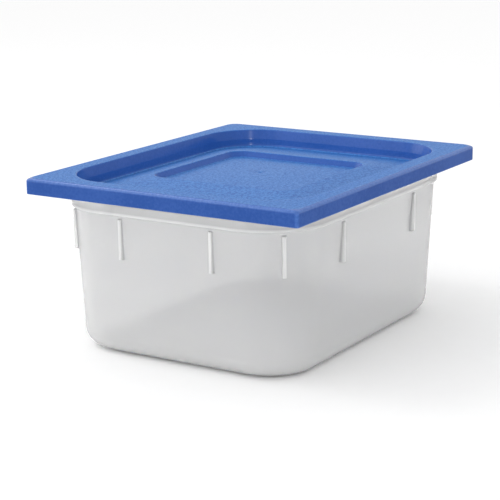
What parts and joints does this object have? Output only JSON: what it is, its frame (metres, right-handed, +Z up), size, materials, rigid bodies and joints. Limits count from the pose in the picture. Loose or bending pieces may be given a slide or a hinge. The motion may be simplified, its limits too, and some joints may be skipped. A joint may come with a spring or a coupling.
{
  "type": "lidded food storage container",
  "caption": "Half-size gastronorm food container: deep translucent tub with rounded corners, a flange and ribs, and a press-on lid with a skirt and a stacking recess.",
  "frame": {"origin": "centre of the tub's flat base, on the surface that the container stands on", "axes": "+Z up, towards the lid; +X along the long side; +Y along the short side"},
  "size_m": [0.325, 0.265, 0.151],
  "materials": {
    "tub": "natural polypropylene, satin and milky translucent",
    "lid": "blue polypropylene: fine spark texture on upward faces, smooth walls and skirt"
  },
  "bodies": {
    "tub": {"tub": "tub"},
    "lid": {"lid": "lid"}
  },
  "joints": [
    {"name": "lid_lift", "type": "slide", "parent": "tub", "child": "lid", "axis": [0, 0, 1], "range_m": [0, 0.18]}
  ]
}
